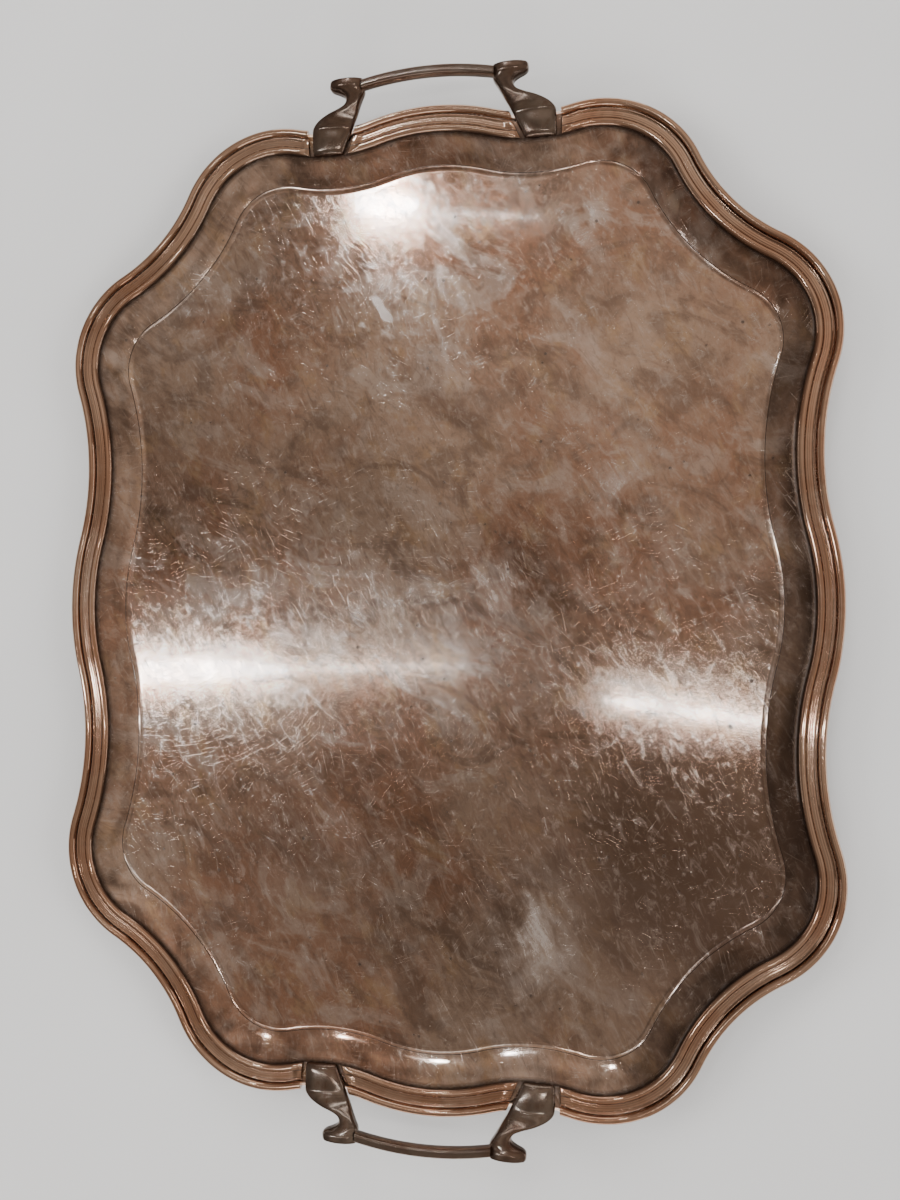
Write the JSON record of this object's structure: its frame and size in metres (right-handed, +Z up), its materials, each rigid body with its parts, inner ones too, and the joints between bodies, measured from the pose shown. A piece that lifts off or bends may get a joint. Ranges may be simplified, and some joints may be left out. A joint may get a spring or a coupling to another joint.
{
  "type": "serving tray",
  "caption": "Rectangular serving tray with a scalloped outline, a reeded border over a hollow wall and a fixed bowed handle at each end.",
  "frame": {"origin": "centre of the base's underside, which rests on the table", "axes": "+X along the tray towards the front handle, +Y across the tray towards its left side, +Z up out of the well"},
  "size_m": [0.5938, 0.438, 0.036],
  "materials": {
    "plated_sheet": "worn silver plate over copper, polished and finely scratched",
    "plated_trim": "worn silver plate, copper showing in the grooves",
    "plated_casting": "worn silver plate, tarnished"
  },
  "bodies": {
    "root": {"tray_pan": "plated_sheet", "left_edge_wire": "plated_trim", "right_edge_wire": "plated_trim", "front_edge_wire": "plated_trim", "rear_edge_wire": "plated_trim", "left_rim_moulding": "plated_trim", "right_rim_moulding": "plated_trim", "front_rim_moulding": "plated_trim", "rear_rim_moulding": "plated_trim", "front_left_handle_bracket": "plated_casting", "front_right_handle_bracket": "plated_casting", "rear_left_handle_bracket": "plated_casting", "rear_right_handle_bracket": "plated_casting", "front_handle_grip": "plated_casting", "rear_handle_grip": "plated_casting"}
  },
  "joints": []
}
